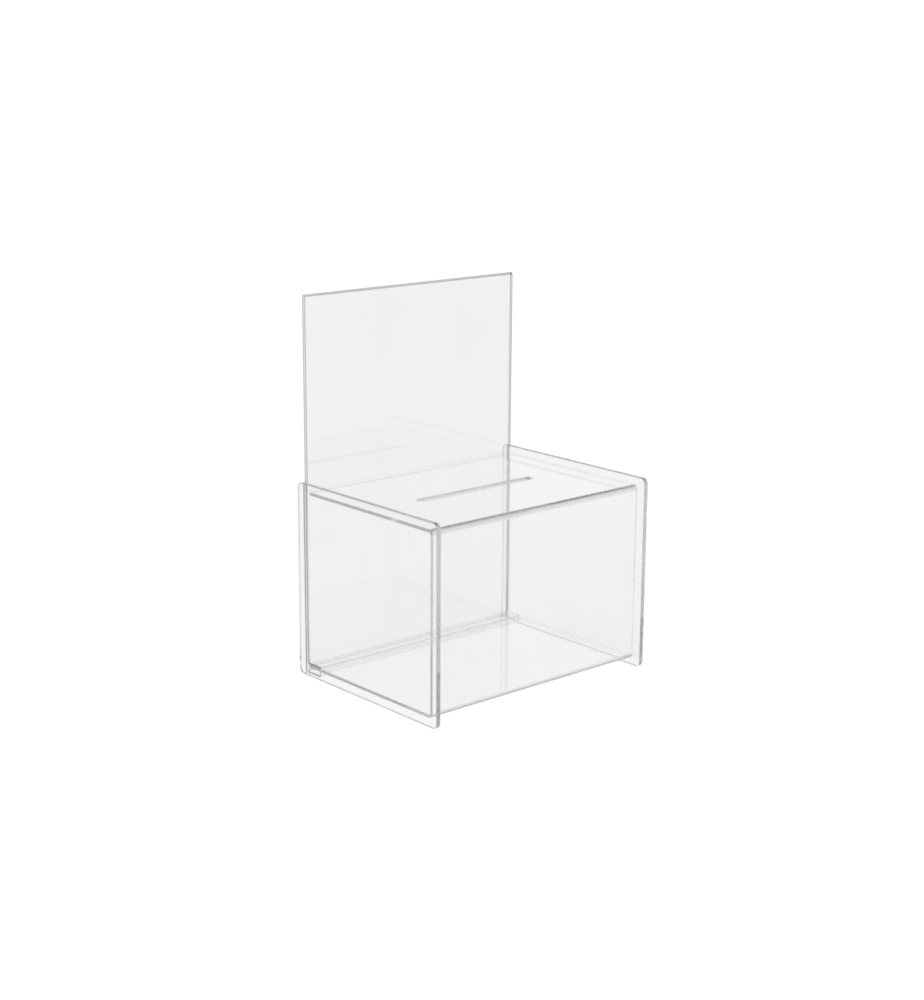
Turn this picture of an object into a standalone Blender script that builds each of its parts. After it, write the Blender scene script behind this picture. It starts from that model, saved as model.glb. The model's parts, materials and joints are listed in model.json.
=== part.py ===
"""A clear acrylic donation box with a tall poster header.

Two thick side panels carry one thin sheet that is heat-bent into the top, front and bottom of the box.
The back is a folded sleeve that doubles as a poster pocket. It slides up in a groove in each side panel,
and rests on a bent ledge under the rear of the floor. Its front ply ends in a flange that lies on the
floor, and that stops under the top when the sleeve is slid up.

Metres, +Z up. X runs across the box, the front faces -Y, and the origin is under the middle of the box.
"""

import math

import bmesh
import bpy

# Side panels
INNER_WIDTH = 0.220  # clear width between the two side panels
SIDE_THICKNESS = 0.004
SIDE_DEPTH = 0.175
SIDE_HEIGHT = 0.163
SIDE_CORNER_RADIUS = 0.005
SIDE_EDGE_ROUNDING = 0.0004  # what polishing takes off the edges

# Bent sheet: top, front and bottom of the box in one piece
BOX_HEIGHT = 0.150
BOX_SHEET = 0.0025
BOX_BEND_RADIUS = 0.002  # inside the bend
FRONT_SETBACK = 0.0075  # the side panels stand this far in front of the bent sheet
FOOT_HEIGHT = 0.0064  # the side panels reach this far below it, and are the feet
TOP_GAP = 0.003  # between the rear edge of the top and the sleeve
SLOT_LENGTH = 0.124
SLOT_WIDTH = 0.008

# Sliding back sleeve, folded over at its top
HEADER_TOP = 0.316  # height of the fold above the table
SLEEVE_SHEET = 0.0015
POCKET_GAP = 0.001  # room for a poster between the two plies
SLEEVE_SETBACK = 0.007  # its rear face to the rear edges of the side panels
FLANGE_REACH = 0.0155  # how far the flange comes forward of the sleeve
FLANGE_BEND_RADIUS = 0.0012  # inside the bend
GROOVE_DEPTH = 0.0015
GROOVE_CLEARANCE = 0.0004  # on each face of the sleeve

# Ledge under the rear of the floor
LEDGE_SHEET = 0.0015
LEDGE_BEND_RADIUS = 0.0008  # inside the bend
LEDGE_HEIGHT = 0.0016  # its underside above the table
LEDGE_REACH = 0.0155  # how far it comes forward of the sleeve

JOINT_GAP = 0.0003  # where two pieces touch
BEND_STEPS = 8  # flats in a quarter turn
CUT_MARGIN = 0.002  # how far a cutter passes the material

# Places worked out from the sizes above, measured back from the front edges of the side panels
SLEEVE_THICKNESS = 2 * SLEEVE_SHEET + POCKET_GAP
SLEEVE_REAR = SIDE_DEPTH - SLEEVE_SETBACK
SLEEVE_FRONT = SLEEVE_REAR - SLEEVE_THICKNESS
TOP_REAR = SLEEVE_FRONT - TOP_GAP
FLOOR_REAR = SLEEVE_FRONT - JOINT_GAP
FIXED_WIDTH = INNER_WIDTH - 2 * JOINT_GAP
SLEEVE_WIDTH = INNER_WIDTH + 2 * (GROOVE_DEPTH - JOINT_GAP)
SLEEVE_FOOT = LEDGE_HEIGHT + LEDGE_SHEET + JOINT_GAP
FLANGE_HEIGHT = FOOT_HEIGHT + BOX_SHEET + JOINT_GAP  # underside of the flange


def clear_scene():
    for obj in list(bpy.data.objects):
        bpy.data.objects.remove(obj, do_unlink=True)


def clear_acrylic(name, tint, roughness):
    material = bpy.data.materials.new(name)
    material.use_nodes = True
    shader = material.node_tree.nodes["Principled BSDF"]
    shader.inputs["Base Color"].default_value = (*tint, 1.0)
    shader.inputs["Roughness"].default_value = roughness
    shader.inputs["Metallic"].default_value = 0.0
    shader.inputs["IOR"].default_value = 1.49
    shader.inputs["Transmission Weight"].default_value = 1.0
    return material


def bent_outline(start, heading, moves, thickness):
    """Outline of a bent sheet seen from its end, as (y, z) points.

    The middle of the sheet starts at start and runs along heading, an angle from +Y towards +Z.
    Each move is ("run", length) or ("bend", angle, radius), with the radius taken inside the bend.
    """
    y, z = start
    left, right = [], []

    def mark():
        side_y = -math.sin(heading) * thickness / 2
        side_z = math.cos(heading) * thickness / 2
        left.append((y + side_y, z + side_z))
        right.append((y - side_y, z - side_z))

    mark()
    for kind, amount, *radius in moves:
        if kind == "run":
            y += amount * math.cos(heading)
            z += amount * math.sin(heading)
            mark()
            continue
        steps = max(1, round(BEND_STEPS * abs(amount) / math.radians(90)))
        middle_radius = radius[0] + thickness / 2
        turn = math.copysign(1.0, amount)
        centre_y = y - math.sin(heading) * middle_radius * turn
        centre_z = z + math.cos(heading) * middle_radius * turn
        for _ in range(steps):
            heading += amount / steps
            y = centre_y + math.sin(heading) * middle_radius * turn
            z = centre_z - math.cos(heading) * middle_radius * turn
            mark()
    return left + right[::-1]


def rounded_rectangle(width, height, radius):
    """Points of a rectangle round its own middle, with a quarter circle at each corner."""
    points = []
    for quarter in range(4):
        middle = math.radians(45 + 90 * quarter)
        corner_x = math.copysign(width / 2 - radius, math.cos(middle))
        corner_y = math.copysign(height / 2 - radius, math.sin(middle))
        for step in range(BEND_STEPS + 1):
            angle = math.radians(90 * quarter + 90 * step / BEND_STEPS)
            points.append((corner_x + radius * math.cos(angle), corner_y + radius * math.sin(angle)))
    return points


def extruded(name, outline, along, length, place):
    """A solid made by pushing a closed outline along one axis, centred on place."""
    axis = "XYZ".index(along)
    mesh = bpy.data.meshes.new(name)
    bm = bmesh.new()
    corners = []
    for first, second in outline:
        point = [first, second]
        point.insert(axis, -length / 2)
        corners.append(bm.verts.new(point))
    cap = bm.faces.new(corners)
    pushed = bmesh.ops.extrude_face_region(bm, geom=[cap])["geom"]
    shift = [0.0, 0.0, 0.0]
    shift[axis] = length
    bmesh.ops.translate(bm, vec=shift, verts=[g for g in pushed if isinstance(g, bmesh.types.BMVert)])
    bmesh.ops.recalc_face_normals(bm, faces=bm.faces)
    bm.to_mesh(mesh)
    bm.free()
    obj = bpy.data.objects.new(name, mesh)
    obj.location = place
    bpy.context.scene.collection.objects.link(obj)
    return obj


def smooth_bends(obj):
    obj.data.shade_smooth()
    obj.data.set_sharp_from_angle(angle=math.radians(30))


def cut(obj, cutter):
    cutter.hide_render = True
    cutter.display_type = "WIRE"
    modifier = obj.modifiers.new(cutter.name, "BOOLEAN")
    modifier.operation = "DIFFERENCE"
    modifier.solver = "EXACT"
    modifier.object = cutter


def round_edges(obj, width):
    modifier = obj.modifiers.new("polished_edges", "BEVEL")
    modifier.width = width
    modifier.segments = 2
    modifier.limit_method = "ANGLE"
    modifier.angle_limit = math.radians(60)


def side_panel(name, side, holder, material):
    """A flat panel with round corners; side is -1 on the left and 1 on the right."""
    outline = rounded_rectangle(SIDE_DEPTH, SIDE_HEIGHT, SIDE_CORNER_RADIUS)
    centre_x = side * (INNER_WIDTH + SIDE_THICKNESS) / 2
    panel = extruded(name, outline, "X", SIDE_THICKNESS, (centre_x, SIDE_DEPTH / 2, SIDE_HEIGHT / 2))
    smooth_bends(panel)
    round_edges(panel, SIDE_EDGE_ROUNDING)
    groove_width = SLEEVE_THICKNESS + 2 * GROOVE_CLEARANCE
    groove_height = SIDE_HEIGHT + 2 * CUT_MARGIN
    across = GROOVE_DEPTH + CUT_MARGIN
    section = [
        (-groove_width / 2, -groove_height / 2),
        (groove_width / 2, -groove_height / 2),
        (groove_width / 2, groove_height / 2),
        (-groove_width / 2, groove_height / 2),
    ]
    groove_x = side * (INNER_WIDTH / 2 + GROOVE_DEPTH - across / 2)
    groove_y = (SLEEVE_FRONT + SLEEVE_REAR) / 2
    groove = extruded(name + "_groove", section, "X", across, (groove_x, groove_y, SIDE_HEIGHT / 2))
    groove.parent = holder
    cut(panel, groove)
    panel.parent = holder
    panel.data.materials.append(material)


def box_sheet(holder, material):
    """One sheet bent twice: it runs forward as the top, down as the front and back as the floor."""
    turn = BOX_BEND_RADIUS + BOX_SHEET
    top_z = FOOT_HEIGHT + BOX_HEIGHT
    moves = [
        ("run", TOP_REAR - FRONT_SETBACK - turn),
        ("bend", math.radians(90), BOX_BEND_RADIUS),
        ("run", BOX_HEIGHT - 2 * turn),
        ("bend", math.radians(90), BOX_BEND_RADIUS),
        ("run", FLOOR_REAR - FRONT_SETBACK - turn),
    ]
    outline = bent_outline((TOP_REAR, top_z - BOX_SHEET / 2), math.radians(180), moves, BOX_SHEET)
    sheet = extruded("top_front_floor_sheet", outline, "X", FIXED_WIDTH, (0, 0, 0))
    smooth_bends(sheet)
    slot_outline = rounded_rectangle(SLOT_LENGTH, SLOT_WIDTH, SLOT_WIDTH / 2)
    slot_y = (FRONT_SETBACK + TOP_REAR) / 2
    slot_depth = BOX_SHEET + 2 * CUT_MARGIN
    slot = extruded("money_slot", slot_outline, "Z", slot_depth, (0, slot_y, top_z - BOX_SHEET / 2))
    slot.parent = holder
    cut(sheet, slot)
    sheet.parent = holder
    sheet.data.materials.append(material)


def rear_sleeve(holder, material):
    """The back wall and header: two plies joined by the fold at the top, open at the sides.

    The rear ply stands on the ledge. The front ply is bent forward into the flange, which is trimmed at
    both ends to pass between the side panels.
    """
    fold_bottom = HEADER_TOP - SLEEVE_THICKNESS / 2
    flange_turn = FLANGE_BEND_RADIUS + SLEEVE_SHEET
    moves = [
        ("run", fold_bottom - SLEEVE_FOOT),
        ("bend", math.radians(180), POCKET_GAP / 2),
        ("run", fold_bottom - FLANGE_HEIGHT - flange_turn),
        ("bend", math.radians(-90), FLANGE_BEND_RADIUS),
        ("run", FLANGE_REACH - FLANGE_BEND_RADIUS),
    ]
    start = (SLEEVE_REAR - SLEEVE_SHEET / 2, SLEEVE_FOOT)
    outline = bent_outline(start, math.radians(90), moves, SLEEVE_SHEET)
    sleeve = extruded("rear_header_sleeve", outline, "X", SLEEVE_WIDTH, (0, 0, 0))
    smooth_bends(sleeve)
    trim_low = FLANGE_HEIGHT - CUT_MARGIN
    trim_high = FLANGE_HEIGHT + flange_turn + CUT_MARGIN
    trim_front = SLEEVE_FRONT - FLANGE_REACH - CUT_MARGIN
    trim_rear = SLEEVE_FRONT - GROOVE_CLEARANCE / 2
    section = [(trim_front, trim_low), (trim_rear, trim_low), (trim_rear, trim_high), (trim_front, trim_high)]
    trim_width = (SLEEVE_WIDTH - FIXED_WIDTH) / 2 + CUT_MARGIN
    for side in (-1, 1):
        trim_x = side * (FIXED_WIDTH + trim_width) / 2
        trim = extruded("flange_trim", section, "X", trim_width, (trim_x, 0, 0))
        trim.parent = holder
        cut(sleeve, trim)
    sleeve.parent = holder
    sleeve.data.materials.append(material)


def bottom_ledge(holder, material):
    """A strip that the sleeve stands on, bent up at its front edge to meet the floor."""
    turn = LEDGE_BEND_RADIUS + LEDGE_SHEET
    ledge_front = SLEEVE_FRONT - LEDGE_REACH
    rise = FOOT_HEIGHT - JOINT_GAP - LEDGE_HEIGHT
    moves = [
        ("run", SLEEVE_REAR - ledge_front - turn),
        ("bend", math.radians(-90), LEDGE_BEND_RADIUS),
        ("run", rise - turn),
    ]
    start = (SLEEVE_REAR, LEDGE_HEIGHT + LEDGE_SHEET / 2)
    outline = bent_outline(start, math.radians(180), moves, LEDGE_SHEET)
    ledge = extruded("bottom_ledge", outline, "X", FIXED_WIDTH, (0, 0, 0))
    smooth_bends(ledge)
    ledge.parent = holder
    ledge.data.materials.append(material)


def build():
    clear_scene()
    box = bpy.data.objects.new("donation_box", None)
    box.location = (0, -SIDE_DEPTH / 2, 0)
    bpy.context.scene.collection.objects.link(box)
    thick = clear_acrylic("clear_acrylic_4mm", (0.93, 0.95, 0.96), 0.04)
    thin = clear_acrylic("clear_acrylic_sheet", (0.95, 0.96, 0.97), 0.03)
    header = clear_acrylic("clear_acrylic_header", (0.96, 0.97, 0.98), 0.03)
    side_panel("side_panel_left", -1, box, thick)
    side_panel("side_panel_right", 1, box, thick)
    box_sheet(box, thin)
    rear_sleeve(box, header)
    bottom_ledge(box, thin)


build()
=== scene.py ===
# %% [markdown]
# # A clear acrylic donation box
# The box is made of five pieces of clear acrylic: two thick side panels, one thin sheet bent into the top,
# front and floor, a folded sleeve that is both the back wall and the tall poster header, and a small ledge
# that the sleeve stands on. Almost nothing on it is opaque, so the look comes from three things: exact
# edges, glass-like shading with real thickness, and light that gives the cut edges something darker to show.

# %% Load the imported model
import json
import math

import bmesh
import bpy
from mathutils import Matrix, Vector


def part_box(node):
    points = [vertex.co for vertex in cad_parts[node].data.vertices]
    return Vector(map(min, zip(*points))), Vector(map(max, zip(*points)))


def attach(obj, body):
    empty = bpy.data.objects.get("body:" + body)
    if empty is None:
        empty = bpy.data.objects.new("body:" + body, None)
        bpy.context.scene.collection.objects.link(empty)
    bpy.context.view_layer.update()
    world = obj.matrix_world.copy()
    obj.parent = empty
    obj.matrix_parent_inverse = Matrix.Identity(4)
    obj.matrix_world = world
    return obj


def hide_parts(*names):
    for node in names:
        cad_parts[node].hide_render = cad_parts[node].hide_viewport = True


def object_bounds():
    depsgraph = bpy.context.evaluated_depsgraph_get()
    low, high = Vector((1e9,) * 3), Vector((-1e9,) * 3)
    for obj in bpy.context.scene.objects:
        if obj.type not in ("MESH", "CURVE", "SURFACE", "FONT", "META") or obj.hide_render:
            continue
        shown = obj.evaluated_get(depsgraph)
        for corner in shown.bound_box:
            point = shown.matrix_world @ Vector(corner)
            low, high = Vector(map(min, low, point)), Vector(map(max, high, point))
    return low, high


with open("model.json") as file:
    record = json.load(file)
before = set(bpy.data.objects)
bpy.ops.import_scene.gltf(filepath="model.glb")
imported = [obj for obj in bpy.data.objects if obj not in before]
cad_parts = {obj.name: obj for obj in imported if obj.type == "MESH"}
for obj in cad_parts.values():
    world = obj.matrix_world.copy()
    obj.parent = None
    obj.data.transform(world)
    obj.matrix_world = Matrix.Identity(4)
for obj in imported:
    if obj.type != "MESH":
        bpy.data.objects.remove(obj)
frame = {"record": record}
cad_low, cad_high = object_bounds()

print("CAD box", [round(v, 4) for v in (*cad_low, *cad_high)])

# %% [markdown]
# ## Sizes
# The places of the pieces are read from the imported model, so the finished pieces land where the solid ones
# are. What the boxes of the nodes can't say is how thick a sheet is or how tight a bend is, so those few
# sizes are written here, in metres.

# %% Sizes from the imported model
left_low, left_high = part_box("side_panel_left")
right_low, right_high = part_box("side_panel_right")
sheet_low, sheet_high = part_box("top_front_floor_sheet")
sleeve_low, sleeve_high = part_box("rear_header_sleeve")
ledge_low, ledge_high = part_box("bottom_ledge")
slot_low, slot_high = [Vector(corner) for corner in next(
    opening["box_m"] for opening in frame["record"]["physics"]["openings"] if opening["name"] == "coin_slot"
)]

MM = 0.001
SHEET = 2.5 * MM
SHEET_BEND = 2.0 * MM
SLEEVE_PLY = 1.5 * MM
LEDGE_PLY = 1.5 * MM
LEDGE_BEND = 0.8 * MM
FLANGE_REACH = 15.5 * MM  # how far the sleeve's flange lies forward on the floor
FLANGE_BEND = 1.2 * MM
PIECE_GAP = 0.3 * MM
PANEL_CORNER = 5.0 * MM
PANEL_POLISH = 0.4 * MM
SHEET_POLISH = 0.2 * MM
SLOT_LENGTH = 124.0 * MM
SLOT_WIDTH = 8.0 * MM
GROOVE_DEPTH = 1.5 * MM
GROOVE_CLEARANCE = 0.4 * MM
TOP_SHORT = 2.7 * MM  # the top stops this far short of the floor's rear edge
CUT_MARGIN = 2.0 * MM  # how far a cutter reaches past what it cuts
ARC_STEPS = 16  # flats in a quarter turn
FACE, CUT_EDGE, FLANGE_TIP = 0, 1, 2  # material slots of a piece

print("sleeve thickness", round((sleeve_high.y - sleeve_low.y) / MM, 2), "mm")

# %% [markdown]
# ## Camera
# The camera looks down a little from the front left. Its place is given as an angle round the box, an angle
# above the table and a distance, which is easier to read and to change than three coordinates. A roll of a
# third of a degree tilts the view slightly, as when a camera is held by hand.

# %% Camera
CAMERA_AZIMUTH = math.radians(-41.342)
CAMERA_ELEVATION = math.radians(14.236)
CAMERA_ROLL = math.radians(0.366)
CAMERA_DISTANCE = 1.5304
CAMERA_LENS_MM = 67.36
CAMERA_SENSOR_MM = 36.0
LOOK_AT = Vector((-0.00705, 0.00620, 0.14616))


def add_camera():
    away = Vector((
        math.sin(CAMERA_AZIMUTH) * math.cos(CAMERA_ELEVATION),
        -math.cos(CAMERA_AZIMUTH) * math.cos(CAMERA_ELEVATION),
        math.sin(CAMERA_ELEVATION),
    ))
    camera = bpy.data.objects.new("camera", bpy.data.cameras.new("camera"))
    camera.data.lens = CAMERA_LENS_MM
    camera.data.sensor_width = CAMERA_SENSOR_MM
    place = Matrix.Translation(LOOK_AT + away * CAMERA_DISTANCE)
    turn = (-away).to_track_quat("-Z", "Y").to_matrix().to_4x4()
    roll = Matrix.Rotation(CAMERA_ROLL, 4, "Z")
    camera.matrix_world = place @ turn @ roll
    bpy.context.scene.collection.objects.link(camera)
    bpy.context.scene.camera = camera
    return camera


camera = add_camera()
print("camera at", [round(v, 3) for v in camera.matrix_world.translation])

# %% [markdown]
# ## Outlines of bent sheets
# Acrylic sheet is bent along a hot wire, so its end view is a strip of constant thickness with round bends.
# A "turtle" that walks along the middle of the sheet and marks both faces as it goes draws any such strip
# from a short list of runs and bends. Typing the outline in as points would hide which numbers matter.

# %% The end view of a bent sheet


def bent_outline(start, heading, moves, thickness):
    """(y, z) points round a strip. Moves are ("run", length) and ("bend", degrees, inside radius)."""
    y, z = start
    heading = math.radians(heading)
    left, right = [], []

    def mark():
        aside_y = -math.sin(heading) * thickness / 2
        aside_z = math.cos(heading) * thickness / 2
        left.append((y + aside_y, z + aside_z))
        right.append((y - aside_y, z - aside_z))

    mark()
    for kind, amount, *inside in moves:
        if kind == "run":
            y += amount * math.cos(heading)
            z += amount * math.sin(heading)
            mark()
            continue
        angle = math.radians(amount)
        steps = round(ARC_STEPS * abs(amount) / 90)
        radius = math.copysign(inside[0] + thickness / 2, angle)
        centre = (y - math.sin(heading) * radius, z + math.cos(heading) * radius)
        for _ in range(steps):
            heading += angle / steps
            y = centre[0] + math.sin(heading) * radius
            z = centre[1] - math.cos(heading) * radius
            mark()
    return left + right[::-1]


def rounded_outline(low, high, radius):
    """Points round a rectangle with quarter circles at its corners, from its low and high corners."""
    points = []
    for quarter in range(4):
        right_side, top_side = quarter in (0, 3), quarter in (0, 1)
        corner = (
            high[0] - radius if right_side else low[0] + radius,
            high[1] - radius if top_side else low[1] + radius,
        )
        for step in range(ARC_STEPS + 1):
            angle = math.radians(90 * (quarter + step / ARC_STEPS))
            points.append((corner[0] + radius * math.cos(angle), corner[1] + radius * math.sin(angle)))
    return points


# %% [markdown]
# ## From outline to solid
# Each outline is pushed along one axis with bmesh. Faces that come from the outline's own edge and the two
# ends are told apart there and then: on a side panel the rim is the cut edge, on a bent sheet the two ends
# and the two tips of the strip are. The cut faces get a second material slot, because a sawn and polished
# edge never looks like a cast face.

# %% Push an outline into a solid


def pushed(name, outline, axis, low, high, cut_faces):
    """A closed mesh between low and high on an axis. cut_faces is "rim" or "ends_and_tips"."""
    mesh = bpy.data.meshes.new(name)
    work = bmesh.new()
    rings = []
    for level in (low, high):
        ring = []
        for first, second in outline:
            place = [first, second]
            place.insert("XYZ".index(axis), level)
            ring.append(work.verts.new(place))
        rings.append(ring)
    count = len(outline)
    tips = (count // 2 - 1, count - 1)
    for ring in rings:
        face = work.faces.new(ring)
        face.material_index = FACE if cut_faces == "rim" else CUT_EDGE
    for i in range(count):
        j = (i + 1) % count
        face = work.faces.new((rings[0][i], rings[0][j], rings[1][j], rings[1][i]))
        is_tip = cut_faces == "ends_and_tips" and i in tips
        face.material_index = CUT_EDGE if cut_faces == "rim" or is_tip else FACE
    bmesh.ops.recalc_face_normals(work, faces=work.faces)
    work.to_mesh(mesh)
    work.free()
    piece = bpy.data.objects.new(name, mesh)
    bpy.context.scene.collection.objects.link(piece)
    return piece


def add_finish_slots(piece):
    """Two empty material slots, one for the faces and one for the cut edges."""
    piece.data.materials.append(None)
    piece.data.materials.append(None)


# %% [markdown]
# ## Polished edges and clean shading
# A polished edge isn't a knife edge: a fraction of a millimetre comes off, and that thin round line is what
# catches the light. A Bevel modifier rounds only the sharp edges. Cuts such as the coin slot are Boolean
# differences. Weighted Normal comes last: it keeps each big face shading perfectly flat, which matters for
# anything see-through, because a tilted normal bends the whole view behind it.

# %% Modifiers that finish a piece
SHARP_ANGLE = math.radians(50)
BEVEL_SEGMENTS = 3


def take_out(piece, cutter):
    """Cuts the cutter's shape from the piece, and removes the cutter."""
    modifier = piece.modifiers.new("cut", "BOOLEAN")
    modifier.operation = "DIFFERENCE"
    modifier.solver = "EXACT"
    modifier.object = cutter
    apply_modifiers(piece)
    bpy.data.objects.remove(cutter, do_unlink=True)


def apply_modifiers(piece):
    graph = bpy.context.evaluated_depsgraph_get()
    finished = bpy.data.meshes.new_from_object(piece.evaluated_get(graph), depsgraph=graph)
    finished.name = piece.name
    piece.modifiers.clear()
    piece.data = finished


def polish(piece, width):
    """Rounds the sharp edges by width, and keeps the large faces flat."""
    piece.data.shade_smooth()
    bevel = piece.modifiers.new("polished_edge", "BEVEL")
    bevel.width = width
    bevel.segments = BEVEL_SEGMENTS
    bevel.limit_method = "ANGLE"
    bevel.angle_limit = SHARP_ANGLE
    bevel.use_clamp_overlap = True
    bevel.material = CUT_EDGE
    flat = piece.modifiers.new("flat_faces", "WEIGHTED_NORMAL")
    flat.keep_sharp = False
    flat.weight = 100
    apply_modifiers(piece)
    print(piece.name, len(piece.data.polygons), "faces")


# %% [markdown]
# ## Side panels
# Each side is a 4 mm panel with round corners. It is larger than the box all round, so it protects the thin
# sheet's edges and makes the feet. A shallow groove near the rear edge guides the sleeve. The panel could be
# a scaled cube, but then the corners, the groove and the polished rim, which are all that is visible of a
# clear panel, would be missing.

# %% Side panels


def side_panel(name, low, high, groove_side):
    """A panel between two corners. groove_side is 1 for a groove in its right face, -1 in its left."""
    outline = rounded_outline((low.y, low.z), (high.y, high.z), PANEL_CORNER)
    panel = pushed(name, outline, "X", low.x, high.x, "rim")
    add_finish_slots(panel)
    inner_x = high.x if groove_side > 0 else low.x
    front = sleeve_low.y + FLANGE_REACH - GROOVE_CLEARANCE
    back = sleeve_high.y + GROOVE_CLEARANCE
    across = sorted((inner_x - groove_side * GROOVE_DEPTH, inner_x + groove_side * CUT_MARGIN))
    bottom, top = low.z - CUT_MARGIN, high.z + CUT_MARGIN
    section = [(front, bottom), (back, bottom), (back, top), (front, top)]
    take_out(panel, pushed("groove", section, "X", *across, "rim"))
    polish(panel, PANEL_POLISH)
    return panel


panel_left = side_panel("panel_left", left_low, left_high, 1)
panel_right = side_panel("panel_right", right_low, right_high, -1)

# %% [markdown]
# ## The bent sheet
# Top, front and floor are one sheet, bent twice over a hot wire. Its two bends, darkened by painted shade,
# are the soft grey lines along the front of the box, and its cut ends are the lines seen through the side
# panels. The coin slot is milled through the top and has round ends. Three flat slabs would be quicker, but
# then the front edges would be sharp, and no light would bend round them.

# %% Top, front and floor in one sheet


def bent_sheet():
    turn = SHEET_BEND + SHEET
    top_rear = sheet_high.y - TOP_SHORT
    moves = [
        ("run", top_rear - sheet_low.y - turn),
        ("bend", 90, SHEET_BEND),
        ("run", sheet_high.z - sheet_low.z - 2 * turn),
        ("bend", 90, SHEET_BEND),
        ("run", sheet_high.y - sheet_low.y - turn),
    ]
    outline = bent_outline((top_rear, sheet_high.z - SHEET / 2), 180, moves, SHEET)
    sheet = pushed("bent_sheet", outline, "X", sheet_low.x, sheet_high.x, "ends_and_tips")
    add_finish_slots(sheet)
    middle = (slot_low + slot_high) / 2
    half = Vector((SLOT_LENGTH / 2, SLOT_WIDTH / 2, 0))
    slot_outline = rounded_outline((middle - half)[:2], (middle + half)[:2], SLOT_WIDTH / 2)
    take_out(sheet, pushed("slot", slot_outline, "Z", slot_low.z, slot_high.z, "rim"))
    polish(sheet, SHEET_POLISH)
    return sheet


sheet = bent_sheet()

# %% [markdown]
# ## The sleeve
# The back wall and the poster header are one thin sheet folded over at the top, so the header is really two
# plies with room for a card between them. The tight fold, with painted shade on it, makes the grey rounded
# line along the top. At the foot the front ply turns forward into a flange that lies on the floor, and its
# ends are trimmed so that it passes between the side panels. The path starts at the rear ply's foot and goes
# up, over and down.

# %% Folded sleeve


def folded_sleeve():
    front = sleeve_low.y + FLANGE_REACH
    thickness = sleeve_high.y - front
    fold_bottom = sleeve_high.z - thickness / 2
    flange_z = sheet_low.z + SHEET + PIECE_GAP
    moves = [
        ("run", fold_bottom - sleeve_low.z),
        ("bend", 180, thickness / 2 - SLEEVE_PLY),
        ("run", fold_bottom - flange_z - FLANGE_BEND - SLEEVE_PLY),
        ("bend", -90, FLANGE_BEND),
        ("run", FLANGE_REACH - FLANGE_BEND),
    ]
    outline = bent_outline((sleeve_high.y - SLEEVE_PLY / 2, sleeve_low.z), 90, moves, SLEEVE_PLY)
    piece = pushed("header_sleeve", outline, "X", sleeve_low.x, sleeve_high.x, "ends_and_tips")
    add_finish_slots(piece)
    near, far = sleeve_low.y - CUT_MARGIN, front - GROOVE_CLEARANCE / 2
    bottom, top = flange_z - CUT_MARGIN, flange_z + FLANGE_BEND + SLEEVE_PLY + CUT_MARGIN
    section = [(near, bottom), (far, bottom), (far, top), (near, top)]
    left_trim = (sleeve_low.x - CUT_MARGIN, sheet_low.x)
    right_trim = (sheet_high.x, sleeve_high.x + CUT_MARGIN)
    for trim in (left_trim, right_trim):
        take_out(piece, pushed("trim", section, "X", *trim, "rim"))
    polish(piece, SHEET_POLISH)
    return piece


sleeve = folded_sleeve()

# %% [markdown]
# ## The ledge
# A narrow strip runs across the underside at the rear. The sleeve stands on it, and its front edge is bent
# up to meet the floor. It is made like the other bent sheets, from a run, a bend and a short run.

# %% Ledge


def rear_ledge():
    turn = LEDGE_BEND + LEDGE_PLY
    moves = [
        ("run", ledge_high.y - ledge_low.y - turn),
        ("bend", -90, LEDGE_BEND),
        ("run", ledge_high.z - ledge_low.z - turn),
    ]
    outline = bent_outline((ledge_high.y, ledge_low.z + LEDGE_PLY / 2), 180, moves, LEDGE_PLY)
    piece = pushed("rear_ledge", outline, "X", ledge_low.x, ledge_high.x, "ends_and_tips")
    add_finish_slots(piece)
    polish(piece, SHEET_POLISH)
    return piece


ledge = rear_ledge()

# %% [markdown]
# ## Writing shaders as sums
# Long node trees are hard to read when every sum is three lines of node code. The small class below wraps a
# socket, so that `0.02 + 0.05 * smudge` adds the Math nodes by itself. Vectors and colours have their own
# nodes, because a Math node would turn them into a single grey value. Every other node comes from the one
# `node` method, which takes its type, its settings and what is plugged into it.

# %% A socket that can be added and multiplied


class Wire:
    def __init__(self, tree, socket):
        self.tree = tree
        self.socket = socket

    def math(self, operation, *values):
        node = self.tree.nodes.new("ShaderNodeMath")
        node.operation = operation
        for target, value in zip(node.inputs, values):
            plug(self.tree, target, value)
        return Wire(self.tree, node.outputs[0])

    def __add__(self, other):
        return self.math("ADD", self, other)

    def __radd__(self, other):
        return self.math("ADD", other, self)

    def __sub__(self, other):
        return self.math("SUBTRACT", self, other)

    def __rsub__(self, other):
        return self.math("SUBTRACT", other, self)

    def __mul__(self, other):
        return self.math("MULTIPLY", self, other)

    def __rmul__(self, other):
        return self.math("MULTIPLY", other, self)

    def between(self, low, high):
        """0 below low, 1 above high and a smooth rise between them."""
        return self.node(
            "ShaderNodeMapRange", {"interpolation_type": "SMOOTHSTEP"},
            {"Value": self, "From Min": low, "From Max": high},
        )

    def blend(self, low, high):
        """The colour low where this wire is 0, high where it is 1 and a mix between them."""
        ends = [end if isinstance(end, Wire) else (*end, 1.0) for end in (low, high)]
        links = {"Factor": self, "A": ends[0], "B": ends[1]}
        return self.node("ShaderNodeMix", {"data_type": "RGBA"}, links, output=2)

    def part(self, axis):
        """The "X", "Y" or "Z" of a vector."""
        return self.node("ShaderNodeSeparateXYZ", {}, {0: self}, output=axis)

    def node(self, kind, settings=None, links=None, output=0):
        made = self.tree.nodes.new(kind)
        for key, value in (settings or {}).items():
            setattr(made, key, value)
        for key, value in (links or {}).items():
            plug(self.tree, made.inputs[key], value)
        return Wire(self.tree, made.outputs[output])


def plug(tree, target, value):
    if isinstance(value, Wire):
        tree.links.new(value.socket, target)
    else:
        target.default_value = value
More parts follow.
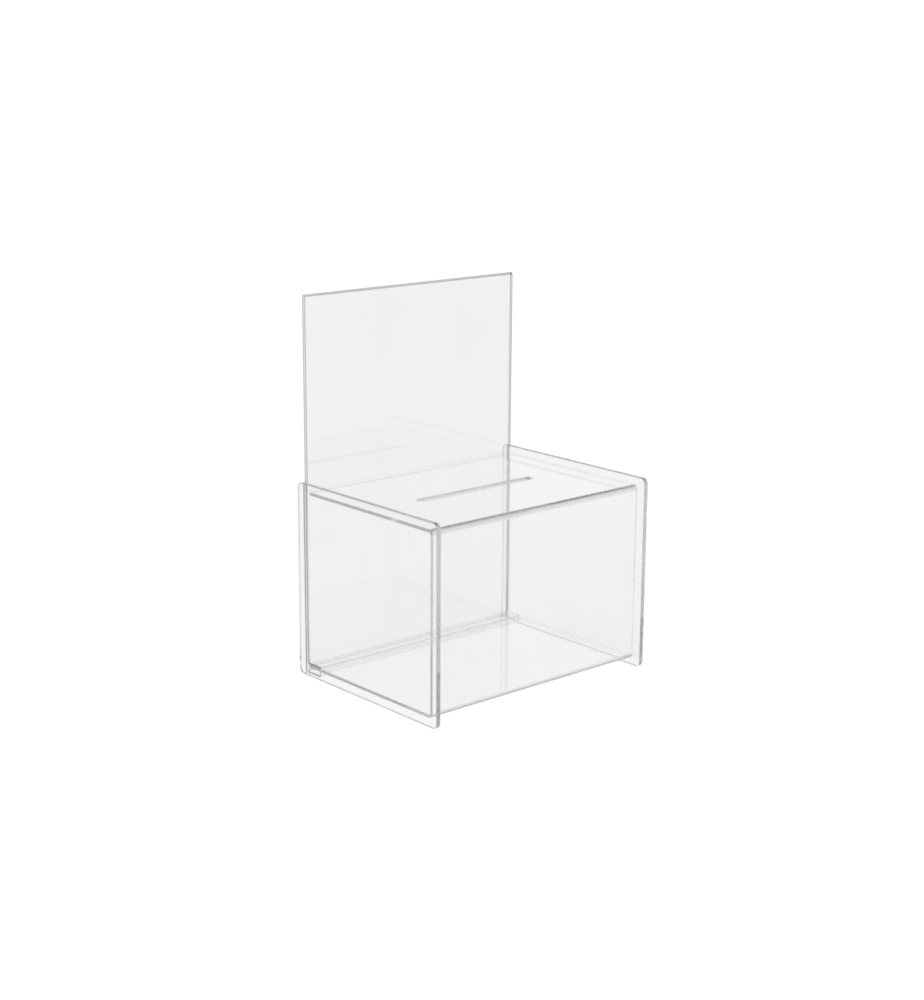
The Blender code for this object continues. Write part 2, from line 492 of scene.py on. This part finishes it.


# %% [markdown]
# ## What acrylic does to light
# Clear plastic is a Principled shader with full transmission and an index of 1.49, a little less than window
# glass. Part of the grey is in the volume: Volume Absorption takes light away along the way through the
# sheet, so an edge, where the way is long, is greyer than a face. The rest is on the surface: a faint tint
# on the faces, a stronger one on the polished edges, and painted shade in the bends. Reflections of the top
# in the header are hardly seen on the real box, so Specular Tint makes them weaker than those of perfect
# glass.

# %% Glass-like shader
INDEX_OF_ACRYLIC = 1.49
ACRYLIC_TINT = (0.905, 0.905, 0.915)
ACRYLIC_DENSITY = 12.0
GLARE = (0.6, 0.6, 0.6)


def new_material(name):
    material = bpy.data.materials.new(name)
    material.use_nodes = True
    tree = material.node_tree
    tree.nodes.clear()
    return material, tree


def finish_glass(tree, colour, roughness, normal):
    shader = tree.nodes.new("ShaderNodeBsdfPrincipled")
    shader.inputs["Transmission Weight"].default_value = 1.0
    shader.inputs["IOR"].default_value = INDEX_OF_ACRYLIC
    shader.inputs["Specular Tint"].default_value = (*GLARE, 1.0)
    plug(tree, shader.inputs["Base Color"], colour)
    plug(tree, shader.inputs["Roughness"], roughness)
    plug(tree, shader.inputs["Normal"], normal)
    inside = tree.nodes.new("ShaderNodeVolumeAbsorption")
    inside.inputs["Color"].default_value = (*ACRYLIC_TINT, 1.0)
    inside.inputs["Density"].default_value = ACRYLIC_DENSITY
    output = tree.nodes.new("ShaderNodeOutputMaterial")
    tree.links.new(shader.outputs[0], output.inputs["Surface"])
    tree.links.new(inside.outputs[0], output.inputs["Volume"])


# %% [markdown]
# ## Clear acrylic, cast face
# The faces of cast sheet are glossy and almost perfect. What makes them believable is what handling leaves:
# faint smudges that dull the gloss in patches, fine wipe marks inside the smudges, and a slow waviness of
# the surface. Where the sheet was bent, the heat leaves it a little hazy, which roughens the gloss, and most
# so in the header's tight fold. There the colour is also darker, which is painted shade for the dark line
# that the light shows along a bend. A shaded corner is where two bands cross, so the bands of one corner
# are multiplied and the corners are added.

# %% Face material
CLEAR = (0.993, 0.993, 1.0)
HAZED = (0.97, 0.97, 0.978)
HEADER_CLEAR = (0.985, 0.985, 0.993)
HEADER_HAZED = (0.955, 0.955, 0.965)
# The bend and fold colours are painted shade: darker greys for the dark line the light shows along a bend.
BEND_PAINTED_SHADE = (0.88, 0.88, 0.89)
FOLD_PAINTED_SHADE = (0.62, 0.62, 0.63)
BEND_CLEAR_AT = 5.5 * MM  # from the outside of a bend
BEND_HAZE_AND_SHADE_AT = 3.5 * MM
FOLD_CLEAR_AT = 2.2 * MM  # below the top of the fold
FOLD_HAZE_AND_SHADE_AT = 1.2 * MM


def face_material(name, clear, hazed, smudge_scale, bends=(), painted_shade=None):
    """bends holds the hazy corners, each a tuple of bands (axis, clear at, hazy at); the last argument is the
    darker colour painted there as shade.
    """
    material, tree = new_material(name)
    start = Wire(tree, None)
    place = start.node("ShaderNodeTexCoord", output="Object")
    haze_and_shade = 0.0
    for corner in bends:
        band = 1.0
        for axis, clear_at, cloudy_at in corner:
            band = place.part(axis).between(clear_at, cloudy_at) * band
        haze_and_shade = band + haze_and_shade
    smudge = start.node(
        "ShaderNodeTexNoise", {}, {"Vector": place, "Scale": smudge_scale, "Detail": 5.0, "Roughness": 0.6}
    ).between(0.5, 0.78)
    wipe = start.node(
        "ShaderNodeTexNoise", {}, {"Vector": place, "Scale": 260.0, "Detail": 2.0}
    ).between(0.35, 0.9)
    haze = smudge * (0.4 + 0.6 * wipe)
    colour = haze.blend(clear, hazed)
    swell = start.node("ShaderNodeTexNoise", {}, {"Vector": place, "Scale": 9.0, "Detail": 1.0})
    normal = start.node("ShaderNodeBump", {}, {"Height": swell, "Strength": 0.02, "Distance": 0.01})
    roughness = 0.004 + 0.02 * haze
    # In the bends the heat haze roughens the gloss, and the colour turns to the painted shade.
    if bends:
        roughness = roughness + 0.22 * haze_and_shade
        colour = haze_and_shade.blend(colour, painted_shade)
    finish_glass(tree, colour, roughness, normal)
    print(name, len(tree.nodes), "nodes")
    return material


front_band = ("Y", sheet_low.y + BEND_CLEAR_AT, sheet_low.y + BEND_HAZE_AND_SHADE_AT)
top_band = ("Z", sheet_high.z - BEND_CLEAR_AT, sheet_high.z - BEND_HAZE_AND_SHADE_AT)
floor_band = ("Z", sheet_low.z + BEND_CLEAR_AT, sheet_low.z + BEND_HAZE_AND_SHADE_AT)
fold_band = ("Z", sleeve_high.z - FOLD_CLEAR_AT, sleeve_high.z - FOLD_HAZE_AND_SHADE_AT)
sheet_bends = ((front_band, top_band), (front_band, floor_band))
thick_face = face_material("cast_face_thick", CLEAR, HAZED, 14.0)
# The thin and header faces get the painted shade in their bends and fold.
thin_face = face_material("cast_face_thin", CLEAR, HAZED, 17.0, sheet_bends, BEND_PAINTED_SHADE)
header_face = face_material(
    "cast_face_header", HEADER_CLEAR, HEADER_HAZED, 12.0, ((fold_band,),), FOLD_PAINTED_SHADE
)

# %% [markdown]
# ## Clear acrylic, polished edge
# A sawn edge is polished, but fine lines left by the saw and the wheel stay on it, and it looks greyer than
# the faces. The lines are a stretched noise: the space is squeezed before the noise is read, so each grain
# comes out long. On the side panels' rims they run straight across. Near the table these rims are also
# darker in ripples a few millimetres apart, which fade out with height.

# %% Polished edge material
POLISHED_TINT = (0.84, 0.84, 0.85)
POLISHED_DARK = tuple(0.85 * c for c in POLISHED_TINT)
LOW_RIPPLE_GREY = (0.55, 0.55, 0.56)
LOW_RIPPLE_HEIGHT = 45.0 * MM


def edge_material(name, roughness, low_ripples=False):
    """The flag puts darker ripples on the lowest part of the edge, fading out with height."""
    material, tree = new_material(name)
    start = Wire(tree, None)
    place = start.node("ShaderNodeTexCoord", output="Object")
    squeezed = start.node(
        "ShaderNodeVectorMath", {"operation": "MULTIPLY"}, {0: place, 1: (30.0, 420.0, 420.0)}
    )
    lines = start.node("ShaderNodeTexNoise", {}, {"Vector": squeezed, "Scale": 1.0, "Detail": 3.0})
    patches = start.node("ShaderNodeTexNoise", {}, {"Vector": place, "Scale": 35.0, "Detail": 2.0})
    marks = lines.between(0.4, 0.75) * patches.between(0.3, 0.7)
    colour = marks.blend(POLISHED_TINT, POLISHED_DARK)
    # Darker ripples on the lowest part of the rim, fading out with height.
    if low_ripples:
        stretched = start.node(
            "ShaderNodeVectorMath", {"operation": "MULTIPLY"}, {0: place, 1: (150.0, 150.0, 330.0)}
        )
        ripple = start.node("ShaderNodeTexNoise", {}, {"Vector": stretched, "Scale": 1.0, "Detail": 1.0})
        low_down = place.part("Z").between(LOW_RIPPLE_HEIGHT, 0.6 * LOW_RIPPLE_HEIGHT)
        colour = (ripple.between(0.42, 0.6) * low_down).blend(colour, LOW_RIPPLE_GREY)
    normal = start.node("ShaderNodeBump", {}, {"Height": lines, "Strength": 0.15, "Distance": 0.0004})
    finish_glass(tree, colour, roughness + 0.1 * marks, normal)
    print(name, len(tree.nodes), "nodes")
    return material


thick_edge = edge_material("polished_edge_thick", 0.12, low_ripples=True)
thin_edge = edge_material("polished_edge_thin", 0.15)

# %% [markdown]
# ## Clear acrylic, sanded edge
# The header's thin edges are only sanded, so they are matte and no light gets through them. Their grey is
# painted shade, for the dark lines that clear edges show in the light. The front edge of the flange is sanded
# too, but it looks white: light that runs inside the sheet comes out there, which a faint glow of its own,
# painted light, stands for.

# %% Sanded edge material


def matte_edge_with_painted_light(name, light, dark, glow=0.0):
    """light and dark are the two greys of the grain; on the header's edges they are painted shade. glow is
    painted light, for the light that comes out of the sheet.
    """
    material, tree = new_material(name)
    start = Wire(tree, None)
    place = start.node("ShaderNodeTexCoord", output="Object")
    grain = start.node("ShaderNodeTexNoise", {}, {"Vector": place, "Scale": 900.0, "Detail": 2.0})
    colour = grain.between(0.3, 0.8).blend((light, light, light), (dark, dark, dark))
    shader = tree.nodes.new("ShaderNodeBsdfPrincipled")
    shader.inputs["Roughness"].default_value = 0.6
    shader.inputs["IOR"].default_value = INDEX_OF_ACRYLIC
    shader.inputs["Emission Color"].default_value = (1.0, 1.0, 1.0, 1.0)
    shader.inputs["Emission Strength"].default_value = glow
    plug(tree, shader.inputs["Base Color"], colour)
    output = tree.nodes.new("ShaderNodeOutputMaterial")
    tree.links.new(shader.outputs[0], output.inputs["Surface"])
    print(name, len(tree.nodes), "nodes")
    return material


# The header edges' greys are painted shade. The flange tip's white is its frosting, and its glow is painted
# light.
shaded_header_edge = matte_edge_with_painted_light("header_edge_painted_shade", 0.5, 0.38)
frosted_tip = matte_edge_with_painted_light("frosted_tip", 0.94, 0.9, 0.3)

# %% [markdown]
# ## Put the finishes on and hang the pieces on the model's bodies
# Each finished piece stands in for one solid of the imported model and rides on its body, so when the sleeve
# slides up the whole header goes with it. Only the flange's tip needs a third finish, which goes to the
# faces whose middle is less than 0.3 mm from the sleeve's front end.

# %% The frosted tip of the flange
TIP_DEPTH = 0.3 * MM


def frost_flange_tip(piece):
    piece.data.materials.append(frosted_tip)
    tip_faces = [face for face in piece.data.polygons if face.center.y < sleeve_low.y + TIP_DEPTH]
    for face in tip_faces:
        face.material_index = FLANGE_TIP
    print(len(tip_faces), "frosted faces")


frost_flange_tip(sleeve)

# %% Finishes, bodies and replaced solids
FINISHED = (
    (panel_left, thick_face, thick_edge, "box_shell", "side_panel_left", "side_acrylic"),
    (panel_right, thick_face, thick_edge, "box_shell", "side_panel_right", "side_acrylic"),
    (sheet, thin_face, thin_edge, "box_shell", "top_front_floor_sheet", "sheet_acrylic"),
    (ledge, thin_face, thin_edge, "box_shell", "bottom_ledge", "sheet_acrylic"),
    (sleeve, header_face, shaded_header_edge, "header_sleeve", "rear_header_sleeve", "header_acrylic"),
)
for piece, face, edge, body, node, finish_slot in FINISHED:
    piece.data.materials[FACE] = face
    piece.data.materials[CUT_EDGE] = edge
    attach(piece, body)
    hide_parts(node)
    print(piece.name, "stands for", node)

# %% [markdown]
# ## Floor
# Clear plastic shows only what is behind and around it. The floor is a large plain sheet, and plain white
# where it is seen directly. The box gets a softer light from it, a pale grey that is a little darker behind
# the box and to its right, so clear faces are seen as a light grey veil in front of a white ground. The
# Light Path node tells the direct rays from all the others. A floor lit by lamps alone would show the box's
# shadow, which a clear box on a light table hardly has, so most of the floor's light is its own.

# %% Floor
FLOOR_HALF = 40.0
FLOOR_DROP = 0.3 * MM  # keeps the floor clear of the feet
FLOOR_GREY = (0.08, 0.08, 0.08)
SEEN_GLOW = (1.0, 1.0, 1.0)
NEAR_GLOW = (0.9, 0.9, 0.9)
FAR_GLOW = (0.83, 0.83, 0.83)


def floor_material():
    material, tree = new_material("white_table")
    shader = tree.nodes.new("ShaderNodeBsdfPrincipled")
    shader.inputs["Base Color"].default_value = (*FLOOR_GREY, 1.0)
    shader.inputs["Roughness"].default_value = 0.7
    shader.inputs["Specular IOR Level"].default_value = 0.2
    shader.inputs["Emission Strength"].default_value = 1.0
    start = Wire(tree, None)
    seen = start.node("ShaderNodeLightPath", output="Is Camera Ray")
    place = start.node("ShaderNodeTexCoord", output="Object")
    far = place.part("Y").between(0.06, 0.12) + place.part("X").between(0.1, 0.13)
    plug(tree, shader.inputs["Emission Color"], seen.blend(far.blend(NEAR_GLOW, FAR_GLOW), SEEN_GLOW))
    output = tree.nodes.new("ShaderNodeOutputMaterial")
    tree.links.new(shader.outputs[0], output.inputs["Surface"])
    return material


def add_floor():
    mesh = bpy.data.meshes.new("floor")
    half = FLOOR_HALF
    corners = [(-half, -half, 0), (half, -half, 0), (half, half, 0), (-half, half, 0)]
    mesh.from_pydata(corners, [], [(0, 1, 2, 3)])
    mesh.materials.append(floor_material())
    floor = bpy.data.objects.new("floor", mesh)
    floor.location.z = cad_low.z - FLOOR_DROP
    bpy.context.scene.collection.objects.link(floor)
    return floor


print("floor", 2 * FLOOR_HALF, "m wide at", round(add_floor().location.z, 4))

# %% [markdown]
# ## Sky
# The sky is white where it is seen directly. What reaches the box is pale near the horizon and darker
# overhead and in front of the box, as in a studio with a dark ceiling. The bent and cut edges gather light
# from there, and read as grey lines. Under an even sky they would have little but their own tint and the
# painted shade of the bends and the header's edges to show.

# %% Sky
SKY_SEEN = 1.05
SKY_LEVEL = 0.97
SKY_OVERHEAD_LOSS = 0.5
SKY_FRONT_LOSS = 0.32


def add_sky():
    world = bpy.data.worlds.new("studio")
    bpy.context.scene.world = world
    world.use_nodes = True
    tree = world.node_tree
    tree.nodes.clear()
    start = Wire(tree, None)
    direction = start.node("ShaderNodeTexCoord", output="Generated")
    overhead = direction.part("Z").between(0.15, 0.75)
    front = (0.0 - direction.part("Y")).between(-0.2, 0.9)
    seen = start.node("ShaderNodeLightPath", output="Is Camera Ray")
    around = SKY_LEVEL - SKY_OVERHEAD_LOSS * overhead - SKY_FRONT_LOSS * front
    brightness = around * (1.0 - seen) + SKY_SEEN * seen
    background = tree.nodes.new("ShaderNodeBackground")
    background.inputs["Color"].default_value = (1.0, 1.0, 1.0, 1.0)
    plug(tree, background.inputs["Strength"], brightness)
    output = tree.nodes.new("ShaderNodeOutputWorld")
    tree.links.new(background.outputs[0], output.inputs["Surface"])
    return world


print(add_sky().name, "sky")

# %% [markdown]
# ## Softbox
# One round softbox, above, behind and to the left of the box, adds a soft sheen on the top and the bends. It
# is 1.4 m wide, several times the size of the box, so its light is soft.

# %% Softbox
SOFTBOX_PLACE = Vector((-0.9, 0.7, 1.7))
SOFTBOX_AIM = Vector((0, 0, 0.12))
SOFTBOX_SIZE = 1.4
SOFTBOX_POWER = 12.0


def add_softbox():
    light = bpy.data.objects.new("softbox", bpy.data.lights.new("softbox", "AREA"))
    light.data.shape = "DISK"
    light.data.size = SOFTBOX_SIZE
    light.data.energy = SOFTBOX_POWER
    light.location = SOFTBOX_PLACE
    light.rotation_mode = "QUATERNION"
    light.rotation_quaternion = (SOFTBOX_AIM - SOFTBOX_PLACE).to_track_quat("-Z", "Y")
    bpy.context.scene.collection.objects.link(light)
    return light


print(add_softbox().name, SOFTBOX_POWER, "W")

# %% [markdown]
# ## Light through many layers
# A ray that crosses this box passes through up to a dozen surfaces before it reaches the floor, and one that
# gets caught inside a sheet can bounce off its faces a hundred times before it comes out of an edge. With
# the usual limit on bounces such rays end in black and darken the edges, so the limits go up. The plain view
# transform keeps the white ground white, and a slightly wide render filter keeps the thin lines soft.

# %% Bounces and view
MOST_BOUNCES = 256
scene = bpy.context.scene
scene.cycles.max_bounces = MOST_BOUNCES
scene.cycles.transmission_bounces = MOST_BOUNCES
scene.cycles.glossy_bounces = MOST_BOUNCES
scene.cycles.transparent_max_bounces = 24
scene.cycles.filter_width = 1.9
scene.view_settings.view_transform = "Standard"
